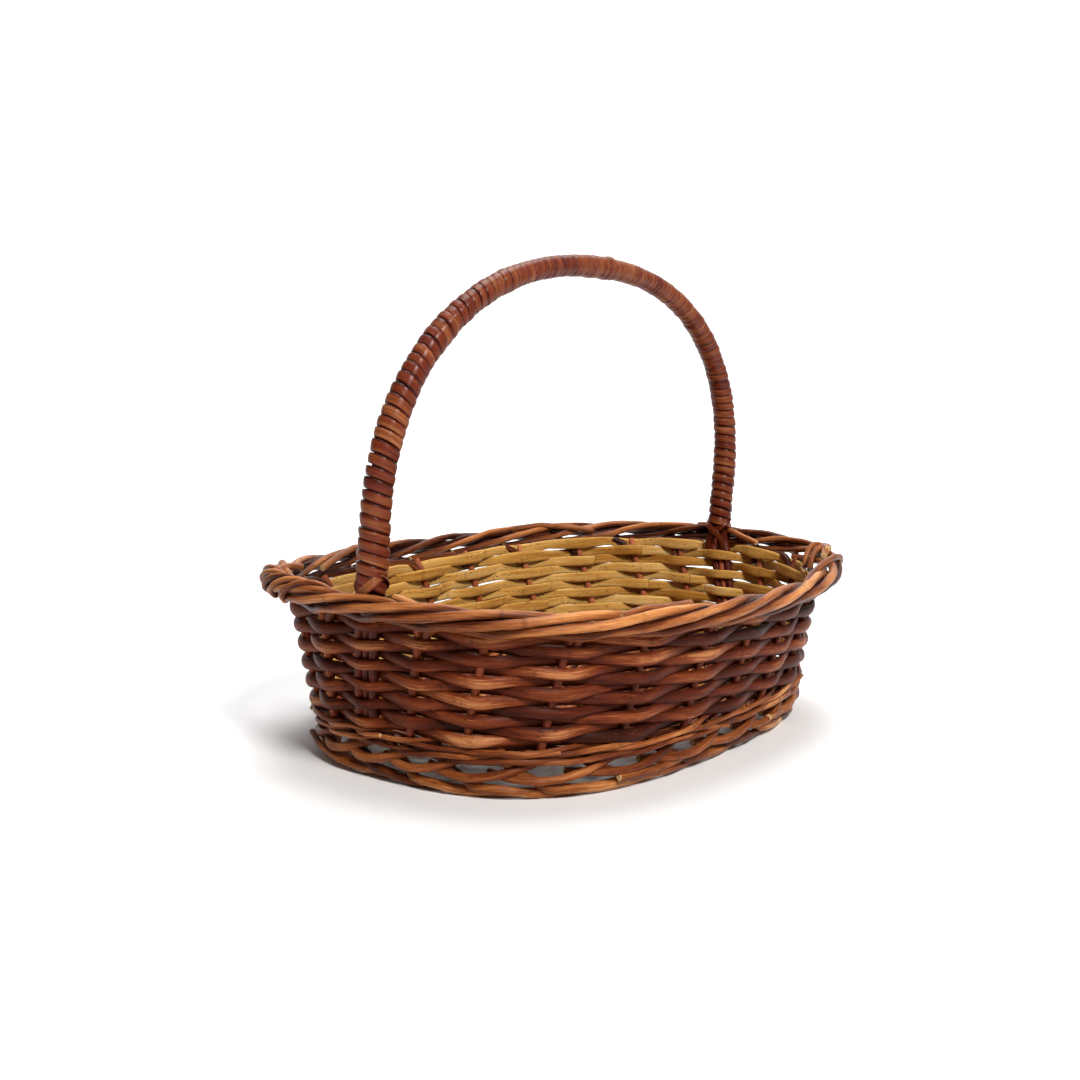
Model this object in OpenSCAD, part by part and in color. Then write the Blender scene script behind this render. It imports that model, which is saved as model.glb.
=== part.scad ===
// Oval woven market basket with a fixed hoop handle.
// The origin is on the ground under the middle of the rim; X runs along
// the length (and along the handle), Y across it, Z up.  Millimetres.

/* [Rim and wall] */
// Length of the border's centre line, along the handle
rim_length = 350; // [320:2:380]
// Width of the border's centre line, across the handle
rim_width = 243; // [225:1:260]
// Height of the border's centre line
rim_height = 86; // [86:1:94]
// How much the border rises at the handle ends and dips at the sides
rim_rise = 2; // [0:0.5:3]
// Length of the wall's middle surface where it meets the border
wall_top_length = 331; // [325:1:333]
// Width of the wall's middle surface where it meets the border
wall_top_width = 222; // [218:1:224]
// Length of the wall's middle surface at the ground
wall_foot_length = 298; // [290:1:304]
// Width of the wall's middle surface at the ground
wall_foot_width = 186; // [180:1:192]
// How far the foot sits off centre lengthwise, as the hand-made one does
foot_shift_x = 2; // [0:0.5:3]
// How far the foot sits off centre sideways
foot_shift_y = -3; // [-4:0.5:0]

/* [Stakes and weavers] */
// Lean of the stakes at the long sides, in degrees round the oval
lean_side = 3; // [0:0.5:4]
// Extra lean of the stakes at the handle ends
lean_end = 9; // [0:0.5:9]
// Diameter of a wall stake
stake_d = 3.4; // [3:0.1:3.4]
// Height of the lowest split-rod round
row_first = 28.2; // [28.2:0.1:28.4]
// Spacing of the split-rod rounds
row_pitch = 4.78; // [4.7:0.01:4.8]
// Height of a split rod, across its flat face
rod_w = 4.3; // [4:0.1:4.3]
// Thickness of a split rod, from flat face to bark
rod_t = 2.4; // [2:0.1:2.4]
// Diameter of the thin round upsett rods
upsett_d = 2.6; // [2.2:0.1:2.6]

/* [Border and foot] */
// Diameter of a border rod
border_d = 4.2; // [3.8:0.1:4.2]
// Radius at which the border rods wind round the border's centre line
border_wind = 3.7; // [3.6:0.05:3.8]
// Diameter of a foot rod
foot_d = 4.2; // [3.8:0.1:4.2]

/* [Handle] */
// Height of the handle's centre line above the border's, at the top
handle_rise = 160; // [130:2:180]
// Half the width of the bow where it is widest
handle_half = 164.6; // [160:0.2:166]
// How far the top of the bow leans lengthwise
handle_lean_x = 4; // [0:0.5:6]
// How far the top of the bow leans sideways
handle_lean_y = -6; // [-8:0.5:0]
// Outer diameter of the wrapped handle at its legs
handle_d = 14.6; // [14.6:0.1:15]
// Share by which the handle is thinner at the top
handle_taper = 0.25; // [0:0.01:0.3]

/* [Hidden] */

n_stakes = 24;            // stakes, evenly spaced in the oval's own angle
step = 360 / n_stakes;
n_rim = 2.52;             // roundness of the oval at the rim (2 = ellipse)
n_foot = 2.8;             // roundness of the oval at the foot
base_z = 18.4;            // level of the base sticks
cross_r = 2.6;            // radius of a cross stick
long_r = 1.6;             // radius of a long stick
upsett_z = [21.6, 24.45]; // levels of the two upsett rounds
wale_z = 15.1;            // level of the wale under the base
h_main = 2.5;             // radius of a bow rod
h_pack = 2.0;             // radius of a packing rod
zb = 36;                  // height of the widest point above the border
flat = 0.2;               // share of a stake interval on each side of a
                          // stake in which a weaver runs straight past it
flat_h = 0.36;            // the same share at the two handle stakes

function unit(v) = v / norm(v);
function sgn(x) = x < 0 ? -1 : 1;
function mix(a, b, k) = a + (b - a) * k;

// Closed oval: point at angle u, half length a, half width b, roundness n
function oval(u, a, b, n) =
  let (c = abs(cos(u)), s = abs(sin(u)), g = pow(pow(c, n) + pow(s, n), -1 / n))
  [a * g * cos(u), b * g * sin(u)];

// Rim rise at angle u
function rise(u) = rim_rise * cos(2 * u);
// Middle surface of the wall at angle u and height z
function wall2(u, z) = let (k = z / 80.7)
  oval(u, mix(wall_foot_length, wall_top_length, k) / 2,
       mix(wall_foot_width, wall_top_width, k) / 2, mix(n_foot, n_rim, k))
  + (1 - z / rim_height) * [foot_shift_x, foot_shift_y];
function wall_z(u, z) = z + rise(u) * z / rim_height;
// Outward direction and forward (anticlockwise) direction of the wall
function along2(u, z) = unit(wall2(u + 0.5, z) - wall2(u - 0.5, z));
function along(u, z) = let (t = along2(u, z)) [t[0], t[1], 0];
function out(u, z) = let (t = along2(u, z)) [t[1], -t[0], 0];
function wall(u, z, o = 0, s = 0) = let (p = wall2(u, z))
  [p[0], p[1], wall_z(u, z)] + o * out(u, z) + s * along(u, z);
// Angle of stake k at height z: the stakes lean round the oval
function lean(u) = lean_side + lean_end * pow(cos(u), 2);
function at(k, z) = let (u = k * step) u - lean(u) * (1 - z / rim_height);
function is_handle(k) = (k % 12 == 0);

// Border's centre line and its outward direction
function rim2(u) = oval(u, rim_length / 2, rim_width / 2, n_rim);
function rim_t(u) = let (t = unit(rim2(u + 0.5) - rim2(u - 0.5))) [t[0], t[1], 0];
function rim_n(u) = let (t = rim_t(u)) [t[1], -t[0], 0];
function rim(u, f, r) = let (p = rim2(u))
  [p[0], p[1], rim_height + rise(u)] + r * (cos(f) * rim_n(u) + [0, 0, sin(f)]);

// Round section with m sides
function disc(r, m, a0 = 0) = [for (j = [0:m - 1]) r * [cos(a0 + j * 360 / m), sin(a0 + j * 360 / m)]];
// Half-round section: flat face inwards, bark outwards
function half_round(w, t) = [[-0.46 * t, w / 2], [-0.46 * t, -w / 2],
  [0.17 * t, -w * 0.42], [0.54 * t, 0], [0.17 * t, w * 0.42]];

// Points of a sweep: stations are [point, side direction, scale]
function sweep_pts(S, sec, closed = false) = let (n = len(S))
  [for (i = [0:n - 1]) let (
      p = S[i][0],
      a = closed ? S[(i + n - 1) % n][0] : S[max(i - 1, 0)][0],
      b = closed ? S[(i + 1) % n][0] : S[min(i + 1, n - 1)][0],
      t = unit(b - a), r = S[i][1], v = unit(r - (r * t) * t), w = cross(t, v))
    for (q = sec) p + S[i][2] * (q[0] * v + q[1] * w)];
module rod(S, sec) {
  m = len(sec); n = len(S);
  polyhedron(points = sweep_pts(S, sec), faces = concat(
    [[for (j = [0:m - 1]) j]], [[for (j = [m - 1:-1:0]) (n - 1) * m + j]],
    [for (i = [0:n - 2], j = [0:m - 1]) [i * m + j, (i + 1) * m + j, (i + 1) * m + (j + 1) % m]],
    [for (i = [0:n - 2], j = [0:m - 1]) [i * m + j, (i + 1) * m + (j + 1) % m, i * m + (j + 1) % m]]));
}
module ring(S, sec) {
  m = len(sec); n = len(S);
  polyhedron(points = sweep_pts(S, sec, true), faces = concat(
    [for (i = [0:n - 1], j = [0:m - 1]) let (k = (i + 1) % n) [i * m + j, k * m + j, k * m + (j + 1) % m]],
    [for (i = [0:n - 1], j = [0:m - 1]) let (k = (i + 1) % n) [i * m + j, k * m + (j + 1) % m, i * m + (j + 1) % m]]));
}

// A round that passes in front of one stake and behind the next
function fl(k) = is_handle(k) ? flat_h : flat;
function weave_path(z, amp, amp_h, phase) = [for (k = [0:n_stakes - 1], e = [-1, 1])
  let (h = is_handle(k), q = (k + phase) % 2 == 0 ? 1 : -1,
       u = mix(at(k, z), at(k + e, z), e == 0 ? 0 : fl(k)))
  [wall(u, z, q * (h ? amp_h : amp)), out(u, z), 1]];

// ---- base ----
function base_in(k) = let (u = at(k, base_z)) wall(u, base_z, -8, -2.3);
function is_long(k) = let (j = (k % 12 + 12) % 12) (j <= 2 || j >= 10);
function long_y(k) = let (j = (k % 12 + 12) % 12, i = j > 6 ? j - 12 : j) i * 3.7;
// Where stick end k enters the slath in the middle of the base
function slath(k) = let (e = base_in(k), q = (k < 6 || k > 18 ? 1 : -1)) is_long(k)
  ? [q * 72, q * long_y(k), e[2]]
  : [58 * cos(k * step) / cos(45), sgn(e[1]) * 13, e[2]];
function stick_at(k, f) = let (a = slath(k % 24), b = base_in(k % 24)) a + f * (b - a);
function slath_z(p) = [p[0], p[1], wall_z(90, base_z)];
module base_cross_sticks() color("saddlebrown") for (k = [3:9]) difference() {
  rod([for (p = [base_in(24 - k), slath_z(slath(24 - k)), slath_z(slath(k)), base_in(k)]) [p, [0, 0, 1], 1]],
    disc(cross_r, 8, 22.5));
  translate([-90, -9.4, wall_z(90, base_z) - long_r - 0.35]) cube([180, 18.8, 2 * long_r + 0.7]);
}
module base_long_sticks() color("peru") for (i = [-2:2]) let (k = (i + 24) % 24, m = 12 - i)
  rod([for (p = [base_in(k), slath_z(slath(k)), slath_z(slath(m)), base_in(m)]) [p, [0, 0, 1], 1]],
    disc(long_r, 8, 22.5));
module base_weavers() color("goldenrod") for (i = [0:6])
  ring([for (k = [0:23], e = [-0.2, 0.2]) let (f = 0.1 + i * 0.145,
      p = mix(stick_at(k, f), stick_at((k + (e < 0 ? 23 : 1)) % 24, f), abs(e)),
      q = (k + i) % 2 == 0 ? 1 : -1)
    [p + [0, 0, q * (cross_r + 1.35)], [0, 0, 1], 1]],
    [[-1, -1.8], [1, -1.8], [1, 1.8], [-1, 1.8]]);

// ---- stakes, foot and border rods ----
module side_stakes() color("sienna") for (k = [0:23]) let (r = stake_d / 2, z0 = base_z)
  rod([for (e = [[z0, -22, 2.6], [z0, -9, 2.6], [z0, -3.2, 1], [z0 + 1.2, -0.6, 0.2], [z0 + 5, 0, 0], [52, 0, 0], [74, 0, 0], [79.3, 3.2, 0]])
    let (u = at(k, e[0])) [wall(u, e[0], e[1], e[2]), along(u, e[0]), e[0] == 79.3 ? 0.8 : 1]], disc(r, 6));
// Foot rod: down beside its stake, round an elbow, then along the ground
// and shaved flat where it stands on the ground
module foot_rods() color("chocolate") difference() {
  foot_rods_round();
  translate([-200, -140, -6]) cube([400, 280, 6]);
}
module foot_rods_round() for (k = [0:23]) let (r = foot_d / 2,
    u0 = at(k, 6), d = step, up = [[29.5, 4.1], [19, 4.1], [12, 4.3], [8.6, 5.4]])
  rod(concat(
    [for (e = up) let (u = at(k, e[0])) [wall(u, e[0], e[0] < 10 ? 0.6 : 0, e[1]), out(u, e[0]), 1]],
    [for (s = [0.3, 0.7, 1.15, 1.6, 1.95]) let (u = u0 + s * d, z = s > 1.5 ? 0.78 * r - 0.15 : mix(6.7, 2.3, (s - 0.3) / 1.2))
      [let (p = wall(u, 3, 2.1 - 3.9 * (s - 0.2))) [p[0], p[1], z], out(u, 3), s > 1.5 ? 0.9 : 1]]),
    disc(r, 6, 0));
// Border rod: up beside its stake, out under the border, then wound round it
function border_in(k) = [for (e = [[72, 0, 4.0], [77, 0.6, 4.0]]) let (u = at(k, e[0])) [wall(u, e[0], e[1], e[2]), out(u, e[0]), 1]];
module border_rods() color("saddlebrown") for (k = [0:23]) let (r = border_d / 2, u0 = k * step + 2.4)
  rod(concat(is_handle(k) ? [] : border_in(k),
    is_handle(k) ? [] : [[rim(u0 + 0.9, -118, 8.2), rim_n(u0), 1]],
    [for (s = [0.03, 0.14, 0.25, 0.36, 0.47, 0.58, 0.69, 0.8, 0.9]) let (u = u0 + 1.5 + s * 3 * step)
      [rim(u, -80 + 290 * s, s < 0.05 ? border_wind + 0.5 : border_wind), rim_n(u), s > 0.85 ? 0.75 : 1]]),
    disc(r, 6));

// ---- upsett, wale and siding ----
module upsett(i) color("peru") ring(weave_path(upsett_z[i], foot_d / 2 + upsett_d / 2 + 0.45, 4.3, i), disc(upsett_d / 2, 5));
module foot_wale() color("peru") ring(weave_path(wale_z, 4.0, 4.0, 0), disc(1.35, 5));
module side_weaver(i) color(i % 3 == 0 ? "sienna" : i % 3 == 1 ? "saddlebrown" : "brown")
  ring(weave_path(row_first + i * row_pitch, stake_d / 2 + 0.54 * rod_t + 0.5 + (i == 0 || i > 8 ? 0.35 : 0), h_main + 0.54 * rod_t + 0.45, i),
    half_round(rod_w, rod_t));

// ---- handle ----
function hk(z) = max(0, (z - rim_height) / handle_rise);
function hs(z) = 1 - handle_taper * pow(hk(z), 2);
function hp(x, z) = [x + handle_lean_x * hk(z), handle_lean_y * hk(z), z];
function leg_x(z) = handle_half + 1.4 * pow(max(0, (rim_height + zb - z) / zb), 2);
function bow(t) = let (e = 0.894) hp(handle_half * sgn(cos(t)) * pow(abs(cos(t)), e),
  rim_height + zb + (handle_rise - zb) * pow(max(0, sin(t)), e));
// Centre line of the bow from wall to wall; zs are the leg heights
function bow_path(zs) = concat(
  [for (z = zs) hp(leg_x(z), z)], [for (t = [0:10:180]) bow(t)],
  [for (i = [len(zs) - 1:-1:0]) hp(-leg_x(zs[i]), zs[i])]);
function bow_stations(P, o, v) = [for (i = [0:len(P) - 1]) let (
    a = P[max(i - 1, 0)], b = P[min(i + 1, len(P) - 1)], t = unit(b - a), y = [0, 1, 0],
    yy = unit(y - (y * t) * t), w = cross(t, yy), s = hs(P[i][2]))
  [P[i] + s * (o * yy + v * w), y, s]];
// In the wall a bow rod runs beside the end stake, inside the weave
function in_wall(side, o) = [for (z = [33, 54, 76]) let (k = side > 0 ? 0 : 12, u = at(k, z))
  [wall(u, z, 0, side * o * 4.4), [0, 1, 0], 1]];
module bow_rod(o) color("brown") let (A = in_wall(1, o), B = in_wall(-1, o),
    M = bow_stations(bow_path([99, 110]), 2.6 * o, 0),
    n1 = [[[166, 4.0 * o + wall2(at(0, 86), 86)[1], 88], [0, 1, 0], 1]],
    n2 = [[[-166, 4.0 * o + wall2(at(12, 86), 86)[1], 88], [0, 1, 0], 1]])
  rod(concat(A, n1, M, n2, [B[2], B[1], B[0]]), disc(h_main, 6));
module handle_packing(v) color("sienna")
  rod(bow_stations(bow_path([96.5, 110]), 0, v * 3.95), disc(h_pack, 6));
module handle_wrap() color("chocolate") {
  M = bow_stations(bow_path([99.5, 110]), 0, 0); n = len(M); m = 10;
  ro = handle_d / 2; ri = 6.3;
  A = sweep_pts(M, disc(ro, m)); B = sweep_pts(M, disc(ri, m)); k = len(A);
  polyhedron(points = concat(A, B), faces = concat(
    [for (i = [0:n - 2], j = [0:m - 1]) [i * m + j, (i + 1) * m + j, (i + 1) * m + (j + 1) % m]],
    [for (i = [0:n - 2], j = [0:m - 1]) [i * m + j, (i + 1) * m + (j + 1) % m, i * m + (j + 1) % m]],
    [for (i = [0:n - 2], j = [0:m - 1]) [k + i * m + j, k + (i + 1) * m + (j + 1) % m, k + (i + 1) * m + j]],
    [for (i = [0:n - 2], j = [0:m - 1]) [k + i * m + j, k + i * m + (j + 1) % m, k + (i + 1) * m + (j + 1) % m]],
    [for (j = [0:m - 1]) [j, (j + 1) % m, k + (j + 1) % m, k + j]],
    [for (j = [0:m - 1]) let (q = (n - 1) * m) [q + j, k + q + j, k + q + (j + 1) % m, q + (j + 1) % m]]));
}
// Two strips tied round the border beside each leg
module lashing(u0) color("chocolate") for (e = [-1, 1]) let (u = u0 + e * 4.3, p = rim(u, 0, 0), t = rim_t(u))
  translate(p) rotate([0, 0, atan2(t[1], t[0])]) rotate([0, 90, 0]) translate([0, 0, -2.2])
    difference() { cylinder(h = 4.4, r = 7.0, $fn = 32); translate([0, 0, -1]) cylinder(h = 6.4, r = 6.1, $fn = 32); }

base_cross_sticks();
base_long_sticks();
base_weavers();
side_stakes();
foot_rods();
foot_wale();
upsett(0);  // upsett_rod_1
upsett(1);  // upsett_rod_2
side_weaver(0);  // side_weaver_01
side_weaver(1);  // side_weaver_02
side_weaver(2);  // side_weaver_03
side_weaver(3);  // side_weaver_04
side_weaver(4);  // side_weaver_05
side_weaver(5);  // side_weaver_06
side_weaver(6);  // side_weaver_07
side_weaver(7);  // side_weaver_08
side_weaver(8);  // side_weaver_09
side_weaver(9);  // side_weaver_10
side_weaver(10);  // side_weaver_11
border_rods();
bow_rod(-1);  // handle_bow_rod_front
bow_rod(1);  // handle_bow_rod_back
handle_packing(1);  // handle_packing_outer
handle_packing(-1);  // handle_packing_inner
handle_wrap();
lashing(180);  // lashing_left
lashing(0);  // lashing_right
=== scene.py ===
"""Looks of the oval woven market basket.  Lengths below are in millimetres in
the CAD's own frame; the meshes are made in metres."""
import math

import bpy
import numpy as np
from mathutils import Matrix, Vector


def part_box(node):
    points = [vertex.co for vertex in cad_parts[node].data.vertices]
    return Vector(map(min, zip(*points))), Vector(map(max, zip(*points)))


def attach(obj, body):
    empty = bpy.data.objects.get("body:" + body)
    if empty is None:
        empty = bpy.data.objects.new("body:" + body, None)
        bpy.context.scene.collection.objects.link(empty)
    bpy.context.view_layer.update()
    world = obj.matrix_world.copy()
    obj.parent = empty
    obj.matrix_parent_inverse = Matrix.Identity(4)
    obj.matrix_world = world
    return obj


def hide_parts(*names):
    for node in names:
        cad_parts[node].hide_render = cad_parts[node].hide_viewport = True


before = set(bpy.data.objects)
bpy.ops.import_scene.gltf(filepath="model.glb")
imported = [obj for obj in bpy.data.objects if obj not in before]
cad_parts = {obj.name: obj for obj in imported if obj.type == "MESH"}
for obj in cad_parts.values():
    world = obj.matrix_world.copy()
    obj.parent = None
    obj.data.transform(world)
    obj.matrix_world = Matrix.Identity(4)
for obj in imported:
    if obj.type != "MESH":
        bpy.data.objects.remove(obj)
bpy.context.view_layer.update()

MM = 0.001
RNG = np.random.default_rng(752)

# --------------------------------------------------------------------------
# Camera and light
# --------------------------------------------------------------------------


def unit(v):
    v = np.asarray(v, float)
    return v / np.maximum(np.linalg.norm(v, axis=-1, keepdims=True), 1e-12)


def make_camera():
    back = unit([-0.8145, -0.5435, 0.2029])
    right = unit(np.cross([0, 0, 1.0], back))
    up = np.cross(back, right)
    roll = 0.0344
    x = right * math.cos(roll) + up * math.sin(roll)
    y = -right * math.sin(roll) + up * math.cos(roll)
    p = np.array([-0.6329, -0.4223, 0.2007])
    cam = bpy.data.cameras.new("camera")
    ob = bpy.data.objects.new("camera", cam)
    bpy.context.scene.collection.objects.link(ob)
    ob.matrix_world = Matrix((
        (x[0], y[0], back[0], p[0]), (x[1], y[1], back[1], p[1]),
        (x[2], y[2], back[2], p[2]), (0, 0, 0, 1)))
    cam.sensor_width = 36.0
    cam.lens = 46.71
    cam.shift_x = -0.0291
    cam.shift_y = 0.0973
    cam.clip_start = 0.01
    cam.clip_end = 50
    bpy.context.scene.camera = ob


make_camera()

# --------------------------------------------------------------------------
# The basket's own shape, as the CAD has it
# --------------------------------------------------------------------------
_lo, _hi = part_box("border_rods")
RIM_A = (_hi[0] - _lo[0]) * 500 - 6.96      # half length of the border's centre line
RIM_B = (_hi[1] - _lo[1]) * 500 - 5.77      # half width of it
RIM_H = 86.0
STEP = 15.0
BASE_Z = 18.4
ZB = 36.0


def cosd(a):
    return np.cos(np.radians(a))


def sind(a):
    return np.sin(np.radians(a))


def mix(a, b, k):
    return a + (b - a) * k


def smoothstep(x, a, b):
    t = np.clip((x - a) / (b - a), 0, 1)
    return t * t * (3 - 2 * t)


def oval(u, a, b, n):
    c, s = np.abs(cosd(u)), np.abs(sind(u))
    g = (c ** n + s ** n) ** (-1 / n)
    return np.stack([a * g * cosd(u), b * g * sind(u)], -1)


def rise(u):
    return 2.0 * cosd(2 * u) + 2.2 * np.clip(cosd(u), 0, 1) ** 3


def wall2(u, z):
    k = z / 80.7
    p = oval(u, mix(298, 331, k) / 2, mix(186, 222, k) / 2, mix(2.8, 2.52, k))
    return p + (1 - z / RIM_H)[..., None] * np.array([2.0, -3.0])


def wall_z(u, z):
    return z + rise(u) * z / RIM_H


def along(u, z):
    t = unit(wall2(u + 0.5, z) - wall2(u - 0.5, z))
    return np.concatenate([t, np.zeros(t.shape[:-1] + (1,))], -1)


def out(u, z):
    t = along(u, z)
    return np.stack([t[..., 1], -t[..., 0], t[..., 2]], -1)


def wall(u, z, o=0.0, s=0.0):
    u, z, o, s = np.broadcast_arrays(*(np.asarray(q, float) for q in (u, z, o, s)))
    p = np.concatenate([wall2(u, z), wall_z(u, z)[..., None]], -1)
    return p + o[..., None] * out(u, z) + s[..., None] * along(u, z)


def lean(u):
    return 3 + 9 * cosd(u) ** 2


def at(k, z):
    u = np.asarray(k, float) * STEP
    return u - lean(u) * (1 - np.asarray(z, float) / RIM_H)


def rim2(u):
    return oval(u, RIM_A, RIM_B, 2.52)


def rim_n(u):
    t = unit(rim2(u + 0.5) - rim2(u - 0.5))
    return np.stack([t[..., 1], -t[..., 0], np.zeros(t.shape[:-1])], -1)


def rim_t(u):
    t = unit(rim2(u + 0.5) - rim2(u - 0.5))
    return np.stack([t[..., 0], t[..., 1], np.zeros(t.shape[:-1])], -1)


def rim(u, f, r):
    u, f, r = np.broadcast_arrays(*(np.asarray(q, float) for q in (u, f, r)))
    p = np.concatenate([rim2(u), (RIM_H + rise(u))[..., None]], -1)
    z = np.array([0, 0, 1.0])
    return p + (r * cosd(f))[..., None] * rim_n(u) + (r * sind(f))[..., None] * z


def hk(z):
    return np.maximum(0, (np.asarray(z, float) - RIM_H) / 160)


def hs(z):
    return 1 - 0.25 * hk(z) ** 2


def leg_x(z):
    return 164.6 + 1.4 * (np.maximum(0, RIM_H + ZB - z) / ZB) ** 2


def hp(x, z):
    x, z = np.broadcast_arrays(np.asarray(x, float), np.asarray(z, float))
    return np.stack([x + 4 * hk(z), -6 * hk(z), z], -1)


def bow_path(z0, step=0.5):
    """Centre line of the handle from the right leg over the top to the left leg."""
    t = np.linspace(0, 180, 721)
    x = 164.6 * np.sign(cosd(t)) * np.abs(cosd(t)) ** 0.894
    z = RIM_H + ZB + 124 * np.maximum(0, sind(t)) ** 0.894
    zl = np.arange(z0, RIM_H + ZB, 1.0)
    p = np.concatenate([hp(leg_x(zl), zl), hp(x, z), hp(-leg_x(zl[::-1]), zl[::-1])])
    return soft(p, step, 3.0)


# --------------------------------------------------------------------------
# Paths and noise
# --------------------------------------------------------------------------


def length(p):
    return np.concatenate([[0], np.cumsum(np.linalg.norm(np.diff(p, axis=0), axis=1))])


def soft(p, step=1.5, sigma=2.0):
    """A smooth path near the corners p: even steps, then a running average."""
    p = np.asarray(p, float)
    s = length(p)
    keep = np.concatenate([[True], np.diff(s) > 1e-6])
    p, s = p[keep], s[keep]
    n = max(int(round(s[-1] / step)), 4)
    t = np.linspace(0, s[-1], n + 1)
    q = np.stack([np.interp(t, s, p[:, i]) for i in range(p.shape[1])], 1)
    h = s[-1] / n
    k = int(3 * sigma / h)
    if k < 1:
        return q
    w = np.exp(-0.5 * (np.arange(-k, k + 1) * h / sigma) ** 2)
    w /= w.sum()
    a = 2 * q[0] - q[1:k + 1][::-1] if len(q) > k else np.repeat(q[:1], k, 0)
    b = 2 * q[-1] - q[-k - 1:-1][::-1] if len(q) > k else np.repeat(q[-1:], k, 0)
    e = np.concatenate([a, q, b])
    return np.stack([np.convolve(e[:, i], w, "valid") for i in range(p.shape[1])], 1)


def wob(x, seed, scale, octaves=3):
    """Smooth noise in about -1..1 along x, with features about `scale` long."""
    r = np.random.default_rng(int(seed) % (2 ** 31))
    y = np.zeros_like(np.asarray(x, float))
    a = 0.0
    for i in range(octaves):
        f = 1.83 ** i
        y = y + np.sin(2 * np.pi * (x * f / scale + r.random())) / f ** 0.8
        a += 1 / f ** 0.8
    return y / a * 1.3


def spline_keys(x, xs, ys):
    """Smooth interpolation through keys (monotone cosine blend)."""
    xs, ys = np.asarray(xs, float), np.asarray(ys, float)
    i = np.clip(np.searchsorted(xs, x) - 1, 0, len(xs) - 2)
    t = np.clip((x - xs[i]) / (xs[i + 1] - xs[i]), 0, 1)
    t = t * t * (3 - 2 * t)
    return ys[i] * (1 - t) + ys[i + 1] * t


# --------------------------------------------------------------------------
# Rods as meshes
# --------------------------------------------------------------------------
ROUND, DFLAT, STRIP = "round", "dflat", "strip"


def section(kind, n):
    """(n, 2) outline in (outward, sideways), unit half sizes, anticlockwise,
    with the material of the face after each point: 0 bark, 1 split face."""
    if kind == ROUND:
        a = np.arange(n) * 2 * np.pi / n
        return np.stack([np.cos(a), np.sin(a)], 1), np.zeros(n, int)
    if kind == DFLAT:
        a = np.radians(np.linspace(-82, 82, n - 6))
        bark = np.stack([-0.5 + 1.5 * np.abs(np.cos(a)) ** 0.92, np.sin(a)], 1)
        rest = np.array([[-0.72, 0.985], [-0.97, 0.90], [-1.0, 0.45], [-1.0, -0.45], [-0.97, -0.90], [-0.72, -0.985]])
        p = np.concatenate([bark, rest])
        m = np.zeros(n, int)
        m[n - 5:n - 2] = 1
        m[n - 6] = 1
        m[n - 2] = 1
        return p, m
    if kind == STRIP:
        a = np.radians(np.linspace(-88, 88, n - 4))
        top = np.stack([-0.15 + 1.15 * np.abs(np.cos(a)) ** 0.55, np.sin(a)], 1)
        rest = np.array([[-0.8, 0.97], [-1.0, 0.6], [-1.0, -0.6], [-0.8, -0.97]])
        p = np.concatenate([top, rest])
        m = np.zeros(n, int)
        m[n - 3] = 1
        return p, m
    raise ValueError(kind)


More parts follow.
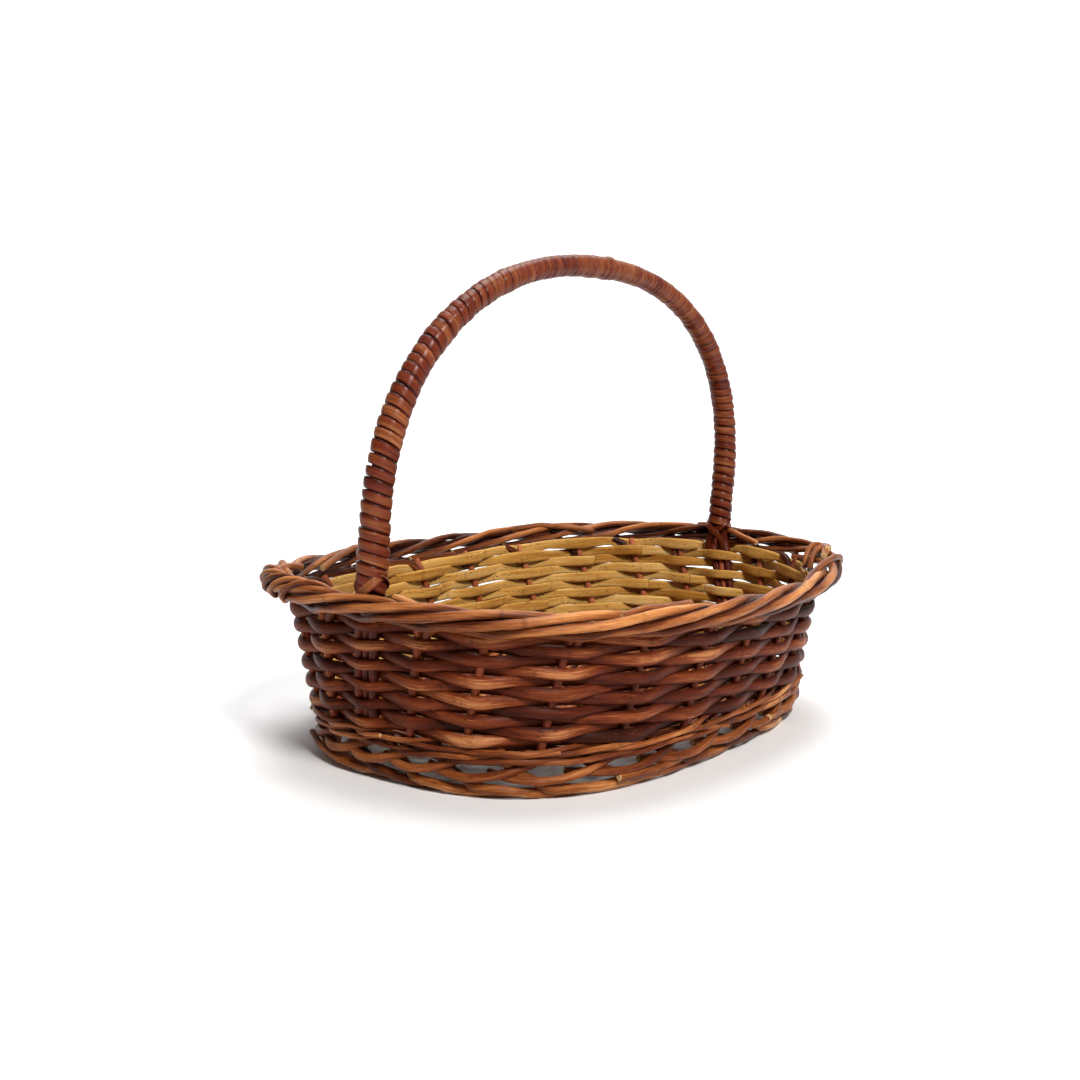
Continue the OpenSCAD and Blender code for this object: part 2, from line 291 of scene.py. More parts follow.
class Bundle:
    """Gathers rods and makes one mesh object of them."""

    def __init__(self, name, node, slot, mats):
        self.name, self.nodes, self.slot, self.mats = name, ([node] if isinstance(node, str) else list(node)), slot, mats
        self.v, self.q, self.t, self.qm, self.tm, self.rod_, self.tone_, self.expo_ = [], [], [], [], [], [], [], []
        self.n = 0

    def rod(self, p, ref, half_v, half_w, kind=ROUND, n=12, seed=0, tone=0.5, painted_light_and_wear=0.5,
            caps=(1, 1), floor=None, cap_mat=2, s0=0.0, twist=None, core=None, crease_shade_w=0.5):
        p = np.asarray(p, float)
        N = len(p)
        T = unit(np.gradient(p, axis=0))
        ref = np.broadcast_to(np.asarray(ref, float), p.shape)
        V = unit(ref - (ref * T).sum(1, keepdims=True) * T)
        W = np.cross(T, V)
        if twist is not None:
            c, s = np.cos(twist)[:, None], np.sin(twist)[:, None]
            V, W = V * c + W * s, W * c - V * s
        sec, mat = section(kind, n)
        hv = np.broadcast_to(np.asarray(half_v, float), (N,))
        hw = np.broadcast_to(np.asarray(half_w, float), (N,))
        lv = sec[None, :, 0] * hv[:, None]
        lw = sec[None, :, 1] * hw[:, None]
        if kind == ROUND:
            # hand-cut rods aren't quite round and carry small swellings
            a = np.arange(n) * 2 * np.pi / n
            s = length(p)
            k = 1 + 0.035 * np.sin(2 * a[None, :] + 3 * wob(s, seed + 5, 60)[:, None]) \
                + 0.02 * wob(s, seed + 9, 14)[:, None]
            lv, lw = lv * k, lw * k
        X = p[:, None, :] + lv[..., None] * V[:, None, :] + lw[..., None] * W[:, None, :]
        s = length(p) + s0
        rod = np.stack([lv, lw, np.broadcast_to(s[:, None], lv.shape)], -1)
        off = (seed * 37.123) % 4000
        rod = rod + np.array([0, 0, off])
        base = self.n
        self.v.append(X.reshape(-1, 3))
        self.rod_.append(rod.reshape(-1, 3))
        # how exposed each ring is, which the materials turn into painted light and shade, and wear
        ex = np.broadcast_to(np.asarray(painted_light_and_wear, float), (N,))
        tn = np.broadcast_to(np.asarray(tone, float), (N,))
        exv = np.repeat(ex, n)
        if core is not None:
            # painted shade: the sides that face the middle of the plait lie in its creases and are made darker
            d = unit(p - core)
            q = ((X - p[:, None, :]) * d[:, None, :]).sum(-1) / hv[:, None]
            exv = exv - crease_shade_w * (1 - smoothstep(q, 0.05, 0.85)).reshape(-1)
        self.expo_.append(exv)
        self.tone_.append(np.repeat(tn, n))
        self.n += N * n
        i = np.arange(N - 1)[:, None] * n
        j = np.arange(n)[None, :]
        j2 = (j + 1) % n
        q = np.stack([i + j, i + j2, i + n + j2, i + n + j], -1).reshape(-1, 4) + base
        self.q.append(q)
        self.qm.append(np.broadcast_to(mat[None, :], (N - 1, n)).reshape(-1))
        for end, cap in ((0, caps[0]), (1, caps[1])):
            if not cap:
                continue
            o = 0 if end == 0 else (N - 1) * n
            c = p[0] if end == 0 else p[-1]
            d = -T[0] if end == 0 else T[-1]
            v, w = (V[0], W[0]) if end == 0 else (V[-1], W[-1])
            a, b = (lv[0], lw[0]) if end == 0 else (lv[-1], lw[-1])
            r = float(min(hv[0 if end == 0 else -1], hw[0 if end == 0 else -1]))
            ca, cb = a.mean(), b.mean()
            rings = [(0.86, 0.16 * r), (0.45, 0.2 * r)]
            prev = base + o + np.arange(n)
            for k, lift in rings:
                aa, bb = ca + (a - ca) * k, cb + (b - cb) * k
                X = c + aa[:, None] * v + bb[:, None] * w + lift * d
                self.v.append(X)
                self.rod_.append(np.stack([aa, bb, np.full(n, off + (0 if end == 0 else s[-1]))], 1))
                self.expo_.append(np.full(n, ex[0 if end == 0 else -1]))
                self.tone_.append(np.full(n, tn[0 if end == 0 else -1]))
                cur = self.n + np.arange(n)
                self.n += n
                if end == 0:
                    q = np.stack([prev, cur, np.roll(cur, -1), np.roll(prev, -1)], 1)
                else:
                    q = np.stack([prev, np.roll(prev, -1), np.roll(cur, -1), cur], 1)
                self.q.append(q)
                self.qm.append(np.full(n, 0 if k > 0.8 else cap_mat))
                prev = cur
            X = c + ca * v + cb * w + 0.2 * r * d
            self.v.append(X[None])
            self.rod_.append(np.array([[ca, cb, off + (0 if end == 0 else s[-1])]]))
            self.expo_.append(np.array([ex[0]]))
            self.tone_.append(np.array([tn[0]]))
            m = self.n
            self.n += 1
            mid = np.full(n, m)
            t = np.stack([prev, mid, np.roll(prev, -1)], 1) if end == 0 else np.stack([prev, np.roll(prev, -1), mid], 1)
            self.t.append(t)
            self.tm.append(np.full(n, cap_mat))
        return p

    def make(self, floor=None):
        v = np.concatenate(self.v)
        if floor is not None:
            v[:, 2] = np.maximum(v[:, 2], floor)
        v = v * MM
        q = np.concatenate(self.q)
        t = np.concatenate(self.t) if self.t else np.zeros((0, 3), int)
        qm = np.concatenate(self.qm)
        tm = np.concatenate(self.tm) if self.tm else np.zeros(0, int)
        me = bpy.data.meshes.new(self.name)
        me.vertices.add(len(v))
        me.vertices.foreach_set("co", v.astype(np.float32).ravel())
        loops = np.concatenate([q.ravel(), t.ravel()])
        me.loops.add(len(loops))
        me.loops.foreach_set("vertex_index", loops.astype(np.int32))
        start = np.concatenate([np.arange(len(q)) * 4, len(q) * 4 + np.arange(len(t)) * 3])
        me.polygons.add(len(start))
        me.polygons.foreach_set("loop_start", start.astype(np.int32))
        me.polygons.foreach_set("material_index", np.concatenate([qm, tm]).astype(np.int32))
        me.update(calc_edges=True)
        me.polygons.foreach_set("use_smooth", np.ones(len(start), bool))
        a = me.attributes.new("rod", "FLOAT_VECTOR", "POINT")
        a.data.foreach_set("vector", np.concatenate(self.rod_).astype(np.float32).ravel())
        # tone, and how exposed each point is, which paints light and shade
        for nm, src in (("tone", self.tone_), ("painted_light_and_wear", self.expo_)):
            a = me.attributes.new(nm, "FLOAT", "POINT")
            a.data.foreach_set("value", np.concatenate(src).astype(np.float32))
        me.validate()
        ob = bpy.data.objects.new(self.name, me)
        bpy.context.scene.collection.objects.link(ob)
        for m in self.mats:
            me.materials.append(m)
        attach(ob, "root")
        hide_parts(*self.nodes)
        return ob


# --------------------------------------------------------------------------
# Materials
# --------------------------------------------------------------------------


def lin(r, g, b):
    c = np.array([r, g, b]) / 255.0
    c = np.where(c <= 0.04045, c / 12.92, ((c + 0.055) / 1.055) ** 2.4)
    return (float(c[0]), float(c[1]), float(c[2]), 1.0)


class Nodes:
    def __init__(self, name):
        self.m = bpy.data.materials.new(name)
        self.m.use_nodes = True
        self.nt = self.m.node_tree
        self.nt.nodes.clear()

    def new(self, kind, **kw):
        n = self.nt.nodes.new(kind)
        for k, v in kw.items():
            setattr(n, k, v)
        return n

    def link(self, a, b):
        self.nt.links.new(a, b)

    def attr(self, name, out="Fac"):
        n = self.new("ShaderNodeAttribute", attribute_name=name)
        n.attribute_type = "GEOMETRY"
        return n.outputs[out]

    def vmul(self, v, x, y, z, add=(0, 0, 0)):
        n = self.new("ShaderNodeVectorMath", operation="MULTIPLY_ADD")
        self.link(v, n.inputs[0])
        n.inputs[1].default_value = (x, y, z)
        n.inputs[2].default_value = add
        return n.outputs[0]

    def noise(self, v, scale=1.0, detail=3.0, rough=0.55, distort=0.0, lac=2.0):
        n = self.new("ShaderNodeTexNoise")
        self.link(v, n.inputs["Vector"])
        n.inputs["Scale"].default_value = scale
        n.inputs["Detail"].default_value = detail
        n.inputs["Roughness"].default_value = rough
        n.inputs["Distortion"].default_value = distort
        n.inputs["Lacunarity"].default_value = lac
        return n.outputs["Fac"]

    def math(self, op, a, b=None, c=None, clamp=False):
        n = self.new("ShaderNodeMath", operation=op)
        n.use_clamp = clamp
        for i, x in enumerate((a, b, c)):
            if x is None:
                continue
            if isinstance(x, (int, float)):
                n.inputs[i].default_value = x
            else:
                self.link(x, n.inputs[i])
        return n.outputs[0]

    def remap(self, x, a, b, c=0.0, d=1.0, smooth=True):
        n = self.new("ShaderNodeMapRange")
        n.interpolation_type = "SMOOTHSTEP" if smooth else "LINEAR"
        self.link(x, n.inputs["Value"])
        for k, v in (("From Min", a), ("From Max", b), ("To Min", c), ("To Max", d)):
            n.inputs[k].default_value = v
        return n.outputs["Result"]

    def ramp(self, x, stops):
        n = self.new("ShaderNodeValToRGB")
        self.link(x, n.inputs["Fac"])
        r = n.color_ramp
        while len(r.elements) > 1:
            r.elements.remove(r.elements[-1])
        r.elements[0].position = stops[0][0]
        r.elements[0].color = stops[0][1]
        for pos, col in stops[1:]:
            e = r.elements.new(pos)
            e.color = col
        return n.outputs["Color"]

    def mixc(self, fac, a, b, mode="MIX"):
        n = self.new("ShaderNodeMix", data_type="RGBA", blend_type=mode)
        for sock, x in ((n.inputs[0], fac), (n.inputs[6], a), (n.inputs[7], b)):
            if isinstance(x, (int, float)):
                sock.default_value = x
            elif isinstance(x, tuple):
                sock.default_value = x
            else:
                self.link(x, sock)
        return n.outputs[2]


def cane(name, cols, dark, streak=0.45, specks=0.5, speck_at=0.66, knots=0.35, rough=(0.34, 0.52),
         coat=0.04, coat_rough=0.2, bump=0.6, tone_w=0.6, expo_w=0.4, fine=1.0, spec=0.12, sheen_col=None, edge=None):
    """Varnished cane or willow: grain along the rod, mottled stain, specks and
    leaf-scar rings.  cols are light-to-dark stops from 0 (dark) to 1 (light)."""
    g = Nodes(name)
    rod = g.attr("rod", "Vector")
    tone = g.attr("tone")
    painted_light_and_wear = g.attr("painted_light_and_wear")
    # slow blotches of stain, and the grain's long streaks
    blotch = g.noise(g.vmul(rod, 0.22, 0.22, 0.035), 1.0, 3.0, 0.6)
    grain = g.noise(g.vmul(rod, 1.3, 1.3, 0.045, (7, 3, 1)), 1.0, 4.0, 0.62)
    thread = g.noise(g.vmul(rod, 6.0 * fine, 6.0 * fine, 0.16, (2, 9, 5)), 1.0, 3.0, 0.6)
    # factor along the colour ramp
    f = g.math("MULTIPLY_ADD", g.math("SUBTRACT", blotch, 0.5), 0.85, 0.5)
    f = g.math("ADD", f, g.math("MULTIPLY", g.math("SUBTRACT", grain, 0.5), streak * 1.5))
    f = g.math("ADD", f, g.math("MULTIPLY", g.math("SUBTRACT", tone, 0.5), tone_w))
    # painted light and shade: proud, exposed parts lighter, tucked-in parts darker
    f = g.math("ADD", f, g.math("MULTIPLY", g.math("SUBTRACT", painted_light_and_wear, 0.5), expo_w))
    if edge:
        # painted shade along the long edges, in the gaps between rods: darker from edge[0] to edge[1] mm from the
        # middle, by edge[2]
        sd = g.new("ShaderNodeSeparateXYZ")
        g.link(rod, sd.inputs[0])
        f = g.math("SUBTRACT", f, g.remap(g.math("ABSOLUTE", sd.outputs[1]), edge[0], edge[1], 0.0, edge[2]))
    f = g.math("ADD", f, g.math("MULTIPLY", g.math("SUBTRACT", thread, 0.5), streak * 0.8), None, True)
    col = g.ramp(f, cols)
    # short dark dashes and dots
    sp = g.noise(g.vmul(rod, 1.5, 1.5, 0.55, (1, 8, 3)), 1.0, 2.0, 0.5)
    sp2 = g.noise(g.vmul(rod, 0.35, 0.35, 0.07, (4, 1, 9)), 1.0, 1.0, 0.5)
    spk = g.math("MULTIPLY", g.remap(sp, speck_at, speck_at + 0.07), g.remap(sp2, 0.42, 0.62))
    spk = g.math("MULTIPLY", spk, specks)
    col = g.mixc(spk, col, dark)
    # leaf scars: narrow rings now and then, darker on one side
    if knots > 0:
        kn = g.new("ShaderNodeTexVoronoi", voronoi_dimensions="1D", feature="F1")
        sep = g.new("ShaderNodeSeparateXYZ")
        g.link(rod, sep.inputs[0])
        g.link(g.math("MULTIPLY", sep.outputs[2], 0.016), kn.inputs["W"])
        kn.inputs["Scale"].default_value = 1.0
        kn.inputs["Randomness"].default_value = 1.0
        ring = g.remap(kn.outputs["Distance"], 0.028, 0.006)
        patch = g.remap(g.noise(g.vmul(rod, 0.45, 0.45, 0.02, (3, 3, 3)), 1.0, 1.0), 0.44, 0.62)
        ring = g.math("MULTIPLY", g.math("MULTIPLY", ring, patch), knots)
        col = g.mixc(ring, col, dark)
    else:
        ring = None
    # a little wear and painted highlight: patches on proud, raised places go towards the lightest colour
    wearn = g.noise(g.vmul(rod, 0.9, 0.9, 0.12, (9, 2, 6)), 1.0, 4.0, 0.7)
    wear_and_highlight = g.math("MULTIPLY", g.remap(wearn, 0.58, 0.74), g.remap(painted_light_and_wear, 0.45, 1.0, 0.0, 0.30))
    light = sheen_col if sheen_col else cols[-1][1]
    col = g.mixc(wear_and_highlight, col, light)
    p = g.new("ShaderNodeBsdfPrincipled")
    g.link(col, p.inputs["Base Color"])
    r = g.remap(g.math("ADD", g.math("MULTIPLY", grain, 0.6), g.math("MULTIPLY", wearn, 0.4)), 0.3, 0.7, rough[0], rough[1])
    g.link(r, p.inputs["Roughness"])
    p.inputs["Coat Weight"].default_value = coat
    p.inputs["Coat Roughness"].default_value = coat_rough
    p.inputs["Specular IOR Level"].default_value = spec
    # bump: threads of the grain, dents, scars
    h = g.math("ADD", g.math("MULTIPLY", thread, 0.55), g.math("MULTIPLY", grain, 0.7))
    h = g.math("SUBTRACT", h, g.math("MULTIPLY", spk, 0.5))
    if ring is not None:
        h = g.math("ADD", h, g.math("MULTIPLY", ring, 0.8))
    b = g.new("ShaderNodeBump")
    b.inputs["Strength"].default_value = bump
    b.inputs["Distance"].default_value = 0.0003
    g.link(h, b.inputs["Height"])
    g.link(b.outputs["Normal"], p.inputs["Normal"])
    o = g.new("ShaderNodeOutputMaterial")
    g.link(p.outputs[0], o.inputs[0])
    return g.m


def pith(name, inner, outer):
    """Cut end: pale wood with a small dark core and a stained edge."""
    g = Nodes(name)
    rod = g.attr("rod", "Vector")
    sep = g.new("ShaderNodeSeparateXYZ")
    g.link(rod, sep.inputs[0])
    rr = g.math("SQRT", g.math("ADD", g.math("POWER", sep.outputs[0], 2.0), g.math("POWER", sep.outputs[1], 2.0)))
    n = g.noise(g.vmul(rod, 1.6, 1.6, 0.4), 1.0, 3.0)
    f = g.math("ADD", g.math("MULTIPLY", rr, 0.42), g.math("MULTIPLY", g.math("SUBTRACT", n, 0.5), 0.5), None, True)
    mid = tuple(0.55 * a + 0.45 * c for a, c in zip(outer, inner))
    col = g.ramp(f, [(0.0, mid), (0.12, mid), (0.3, inner), (0.66, inner), (1.0, outer)])
    p = g.new("ShaderNodeBsdfPrincipled")
    g.link(col, p.inputs["Base Color"])
    g.link(g.remap(n, 0.3, 0.7, 0.6, 0.85), p.inputs["Roughness"])
    b = g.new("ShaderNodeBump")
    b.inputs["Strength"].default_value = 0.6
    b.inputs["Distance"].default_value = 0.0003
    g.link(g.noise(g.vmul(rod, 3.0, 3.0, 0.4), 1.0, 3.0), b.inputs["Height"])
    g.link(b.outputs["Normal"], p.inputs["Normal"])
    o = g.new("ShaderNodeOutputMaterial")
    g.link(p.outputs[0], o.inputs[0])
    return g.m


# edge darkens each rod's long edges: painted shade between the rods
M_SIDE = cane("siding_bark", [(0.0, lin(30, 8, 2)), (0.25, lin(52, 16, 5)), (0.5, lin(80, 28, 10)),
                              (0.75, lin(120, 56, 26)), (1.0, lin(186, 122, 76))], lin(16, 5, 3),
              speck_at=0.61, specks=0.9, rough=(0.38, 0.54), coat=0.02, spec=0.09, edge=(1.5, 3.3, 0.24), expo_w=0.34)
M_SPLIT = cane("siding_split", [(0.0, lin(134, 76, 28)), (0.28, lin(178, 122, 50)), (0.55, lin(208, 156, 78)),
                                (0.8, lin(224, 180, 108)), (1.0, lin(240, 206, 146))], lin(84, 42, 16),
               speck_at=0.60, specks=0.9, knots=0.3, rough=(0.45, 0.62), coat=0.02, streak=0.6, tone_w=0.6, expo_w=0.1)
M_STAKE = cane("stake_bark", [(0.0, lin(52, 17, 8)), (0.3, lin(102, 42, 22)), (0.6, lin(148, 72, 40)),
                              (1.0, lin(196, 118, 76))], lin(30, 10, 6), speck_at=0.64, rough=(0.36, 0.52))
M_BORDER = cane("border_bark", [(0.0, lin(50, 18, 7)), (0.25, lin(98, 46, 21)), (0.5, lin(152, 88, 45)),
                                (0.75, lin(194, 126, 70)), (1.0, lin(224, 166, 106))], lin(36, 13, 6),
                speck_at=0.63, rough=(0.30, 0.46), coat=0.05, coat_rough=0.2, spec=0.12)
M_FOOT = cane("foot_bark", [(0.0, lin(30, 10, 3)), (0.25, lin(62, 24, 8)), (0.5, lin(108, 51, 19)),
                            (0.75, lin(162, 96, 46)), (1.0, lin(222, 164, 106))], lin(28, 11, 5),
              speck_at=0.63, rough=(0.32, 0.48), coat=0.05, spec=0.12)
M_WEAVE = cane("wale_bark", [(0.0, lin(34, 11, 4)), (0.25, lin(68, 27, 10)), (0.5, lin(106, 48, 20)),
                             (0.75, lin(158, 90, 44)), (1.0, lin(208, 146, 90))], lin(28, 11, 5),
               speck_at=0.63, rough=(0.34, 0.5), coat=0.04, spec=0.12)
M_BASE = cane("base_bark", [(0.0, lin(70, 32, 12)), (0.3, lin(120, 64, 27)), (0.6, lin(162, 100, 46)),
                            (1.0, lin(206, 152, 86))], lin(46, 22, 10), speck_at=0.64, rough=(0.42, 0.6), coat=0.03)
M_CORE = cane("core_bark", [(0.0, lin(28, 7, 3)), (0.3, lin(56, 15, 7)), (0.6, lin(94, 32, 15)),
                            (1.0, lin(146, 68, 40))], lin(20, 6, 3), speck_at=0.66, rough=(0.3, 0.46), coat=0.04)
# edge darkens the long edges of each turn: painted shade in the gaps between turns
M_WRAP = cane("wrap_skin", [(0.0, lin(36, 9, 4)), (0.25, lin(66, 20, 10)), (0.48, lin(102, 38, 20)),
                            (0.66, lin(126, 66, 34)), (0.82, lin(152, 93, 54)), (1.0, lin(190, 134, 88))], lin(30, 10, 5),
              speck_at=0.65, specks=0.6, knots=0.15, rough=(0.24, 0.38), coat=0.10, coat_rough=0.15, streak=0.4,
              spec=0.14, tone_w=0.75, edge=(1.6, 2.5, 0.36))
M_PITH = pith("pith", lin(214, 180, 122), lin(124, 78, 40))
M_PITH_D = pith("pith_dark", lin(168, 120, 66), lin(80, 42, 20))

# --------------------------------------------------------------------------
# Side weavers: split rods in front of one stake and behind the next
# --------------------------------------------------------------------------
ROW0, PITCH = 28.2, 4.78


def handle_near(x):
    """1 at the two handle stakes, falling to 0 one stake away."""
    d = np.abs((x + 6) % 12 - 6)
    return np.clip(1 - d / 0.8, 0, 1)


def sag(x, i):
    """How far row i is pushed up or down at stake position x, in mm."""
    d = 0.4 * wob(x, 11, 9.0) + 0.25 * wob(x, 40 + i, 5.0)
    k = i / 10.0
    # looser rows high up at the back of the right end
    d = d + 1.5 * np.exp(-((x % 24 - 3.2) / 1.4) ** 2) * (k - 0.62) * (k > 0.55) * ((i % 2) * 2 - 1) * -1
    # towards the far leg the top rows are pushed up against the border
    return d + (0.5 + 2.6 * np.clip(np.cos(np.pi * (x - 1) / 12), 0, 1)) * k ** 2


def weaver(i):
    b = Bundle("siding_round_%02d" % (i + 1), "side_weaver_%02d" % (i + 1), "siding", [M_SIDE, M_SPLIT, M_PITH_D])
    r = np.random.default_rng(900 + i)
    # joints sit behind stakes: stakes where this row runs inside
    inner = [k for k in range(24) if (k + i) % 2 == 1 and k % 12 != 0]
    a = int(r.integers(0, len(inner)))
    ks = sorted({inner[a], inner[(a + 4 + int(r.integers(0, 2))) % len(inner)], inner[(a + 8) % len(inner)]})
    n = len(ks)
    # each pass over a stake has its own thickness, height and slant
    fat, drop, slant, shade = (r.normal(0, 1, (4, 25)).clip(-1.7, 1.7))
    for q in (fat, drop, slant, shade):
        q[24] = q[0]
    look = lambda q, x: np.interp(x % 24, np.arange(25), q)
    for j in range(n):
        x0 = ks[j]
        x1 = ks[(j + 1) % n] + (24 if j == n - 1 else 0)
        a0 = x0 - 0.17 - 0.06 * r.random()
        a1 = x1 + 0.20 + 0.08 * r.random()
        x = np.linspace(a0, a1, int((x1 - x0) * 26))
        seed = 100 * i + 7 * j + 3
        c = np.cos(np.pi * (x + i))
        tri = 1 - 2 * np.arccos(np.clip(c, -1, 1)) / np.pi      # straight from stake to stake
        tri = np.convolve(np.pad(tri, 4, mode="reflect", reflect_type="odd"), np.ones(9) / 9, "valid") * 1.06
        front = np.clip(tri, 0, 1)
        back = np.clip(-tri, 0, 1)
        h = handle_near(x)
        amp = mix(3.55, 4.4, h) + (0.25 if i in (0, 9, 10) else 0)
        o = amp * (0.62 * tri + 0.38 * c)
        # the new rod's thick end lies on the inside of the old one's thin end
        o = o - 1.2 * np.exp(-((x - a0) / 0.45) ** 2)
        tip = smoothstep(x, a1 - 0.32, a1)
        z = ROW0 + PITCH * i + sag(x, i) + 0.12 * wob(x, seed, 2.2) + 0.35 \
            - (1.3 + 0.4 * look(drop, x)) * front ** 1.3 + (i == 9) * 0.9 * back - (i == 10) * 1.3 * front + 1.8 * look(slant, np.round(x)) * (x - np.round(x)) * front
        u = at(x + 0.055 * np.cos(np.pi * (x + i)) ** 2, z)
        p = wall(u, z, o)
        w = 5.45 + (1.1 + 0.6 * look(fat, x)) * front ** 0.85 + (1.25 + 0.3 * look(fat, x + 7)) * back ** 0.7 - 0.9 * h \
            + (i == 9) * 0.8 * back + (i == 10) * (0.6 * back - 0.3 * front)
        w = w * (1 + 0.04 * wob(x, seed + 2, 3.0)) * mix(1.0, 0.8, tip)
        t = (2.75 + 0.3 * r.random()) * (1 + 0.05 * wob(x, seed + 4, 4.0)) * mix(1.0, 0.55, tip)
        t = t * (1 + 0.12 * front)
        # rods lean a little: the lower edge is tucked under the round below
        tw = 0.08 * wob(x, seed + 6, 2.6) + 0.12 * tri
        tone = 0.52 + 0.24 * (r.random() - 0.5) * 2 + 0.14 * wob(x, seed + 8, 7.0) + 0.13 * look(shade, x) \
            - 0.12 * np.clip(np.cos(np.pi * (x - 19) / 12), 0, 1) ** 3
        # painted light and shade: the outward bulge in front of a stake lighter, the part behind a stake darker
        painted_light_and_wear = 0.42 + 0.58 * front ** 0.8 - 0.25 * back
        b.rod(p, out(u, z), t / 2, w / 2, DFLAT, 19, seed=seed, tone=tone, painted_light_and_wear=painted_light_and_wear, twist=tw)
    return b.make()


for i in range(11):
    weaver(i)

# --------------------------------------------------------------------------
# Stakes
# --------------------------------------------------------------------------


def stakes():
    b = Bundle("stakes", "side_stakes", "stakes", [M_STAKE, M_STAKE, M_PITH_D])
    for k in range(24):
        keys = [(BASE_Z, -22, 2.6), (BASE_Z, -9, 2.6), (BASE_Z, -3.4, 1.0), (BASE_Z + 1.4, -0.8, 0.2),
                (BASE_Z + 5, 0, 0), (35, 0, 0), (52, 0, 0), (66, 0, 0), (74, 0.2, 0), (80.2, 2.6, 0)]
        p = np.array([wall(at(k, z), z, o, s) for z, o, s in keys])
        p = soft(p, 1.2, 1.4)
        s = length(p)
        rad = 2.15 * (1 + 0.08 * (RNG.random() - 0.5)) * mix(1.0, 0.88, s / s[-1])
        u = at(k, 50.0)
        p = p + (0.18 * wob(s, 300 + k, 45) * smoothstep(s, 28, 45))[:, None] * along(u, np.float64(50.0))
        # stakes at the back, seen from inside the basket, are lighter: painted light in their shade
        b.rod(p, along(u, np.float64(50.0)), rad, rad, ROUND, 12, seed=500 + k,
              tone=0.56 + 0.5 * (RNG.random() - 0.5) + 0.4 * float(cosd(STEP * k - 60)), painted_light_and_wear=0.45)
    b.make()


stakes()

# --------------------------------------------------------------------------
# Foot rods: down beside each stake, round an elbow and along the ground
# --------------------------------------------------------------------------


def foot():
    b = Bundle("foot_border", "foot_rods", "foot", [M_FOOT, M_FOOT, M_PITH])
    for k in range(24):
        r = np.random.default_rng(4000 + k)
        rr = 2.38 * (1 + 0.14 * (r.random() - 0.5))
        d = 0.05 * (r.random() - 0.5)
        h = 0.8 * (r.random() - 0.5)
        pts = [wall(at(k + x, z), z, o) for x, z, o in ((-0.55, 27.0, -2.4), (-0.52, 22.0, -1.9), (-0.42, 17.5, -0.9),
                                                        (-0.24, 13.0, 0.0), (-0.06, 9.8, 0.5))]
        # x past the stake, height, distance outwards
        for x, z, o in ((0.10 + d, 7.6 + h, 0.9), (0.14 + d, 5.9 + h, 2.3), (0.24 + d, 5.2 + h, 3.0), (0.45, 4.7 + h, 3.2),
                        (0.75, 3.7 + 0.6 * h, 2.5), (1.0, 2.9, 1.4), (1.25, 2.3, 0.0), (1.6, 2.05, -1.7),
                        (1.9, 1.95, -2.9), (2.2 + 2 * d, 1.8, -3.9)):
            pts.append(wall(at(k + x, 6.0), z, o))
        p = soft(pts, 1.2, 1.9)
        s = length(p)
        t = s / s[-1]
        rad = rr * mix(1.0, 0.74, smoothstep(t, 0.62, 1.0)) * (1 + 0.04 * wob(s, 60 + k, 30))
        a = smoothstep(t, 0.2, 0.4)[:, None]
        ref = np.array([0, 0, 1.0]) * a + out(np.float64(at(k, 6)), np.float64(6.0)) * (1 - a)
        # painted shade on the part tucked down beside the stake, lighter out round the foot
        b.rod(p, ref, rad, rad, ROUND, 16, seed=600 + k,
              tone=0.44 + 0.85 * (r.random() - 0.5), painted_light_and_wear=0.35 + 0.5 * smoothstep(t, 0.2, 0.5))
    # loose ends that stand out from the foot: (angle, height, distance outwards)
    for m, (keys, w0, w1) in enumerate((
            (((176, 4.2, 1.0), (169, 3.6, 3.6), (160, 4.2, 5.4), (150, 6.6, 6.6), (143, 9.8, 7.8)), 2.0, 1.5),
            (((252, 7.0, 1.2), (247, 6.6, 3.2), (241, 6.8, 4.6), (235, 7.4, 5.4)), 2.1, 2.2),
            (((301, 9.0, 1.4), (296, 9.6, 3.4), (290, 10.4, 4.6), (285, 11.4, 5.2)), 1.9, 2.0),
            (((40, 6.0, 1.0), (34, 5.6, 3.2), (27, 6.2, 4.6), (20, 7.6, 5.6)), 1.9, 1.6),
            (((101, 6.6, 1.0), (95, 6.4, 3.2), (88, 6.8, 4.6), (83, 7.4, 5.2)), 2.0, 2.0))):
        p = soft([wall(np.float64(a), z, o) for a, z, o in keys], 1.2, 2.0)
        w = np.linspace(w0, w1, len(p))
        b.rod(p, (0, 0, 1), w, w, ROUND, 14, seed=690 + m, tone=0.45, painted_light_and_wear=0.7)
    b.make(floor=0.0)


foot()


def foot_wale():
    """Thick rods over the foot's gaps: each bends round the outside of one
    stake, low, then climbs behind the next."""
    b = Bundle("foot_wale_rods", "foot_wale", "foot", [M_WEAVE, M_WEAVE, M_PITH])
    for k in range(24):
        r = np.random.default_rng(4400 + k)
        h = 0.9 * (r.random() - 0.5)
        q = 0.12 * (r.random() - 0.5)
        pts = [wall(at(k + x, z), z, o) for x, z, o in (
            (-0.62, 12.0, -2.2), (-0.45, 11.2 + h, -0.2), (-0.2, 10.3 + h, 3.2), (0.05, 9.8 + h, 4.5), (0.28, 10.2 + h, 4.4),
            (0.55 + q, 12.4 + h, 3.7), (0.8 + q, 15.2 + h, 1.5), (1.0 + q, 16.9 + h, -1.6), (1.22 + q, 17.4 + h, -3.4))]
        p = soft(pts, 1.2, 2.4)
        s = length(p)
        t = s / s[-1]
        rad = 2.15 * (1 + 0.16 * (r.random() - 0.5)) * mix(1.0, 0.72, smoothstep(t, 0.55, 1.0)) * (1 + 0.04 * wob(s, 4450 + k, 25))
        # painted shade where the rod climbs behind the next stake
        b.rod(p, out(np.float64(at(k, 12)), np.float64(12.0)), rad, rad, ROUND, 14, seed=4500 + k,
              tone=0.5 + 0.6 * (r.random() - 0.5), painted_light_and_wear=0.75 - 0.5 * smoothstep(t, 0.5, 1.0))
    return b.make()


foot_wale()


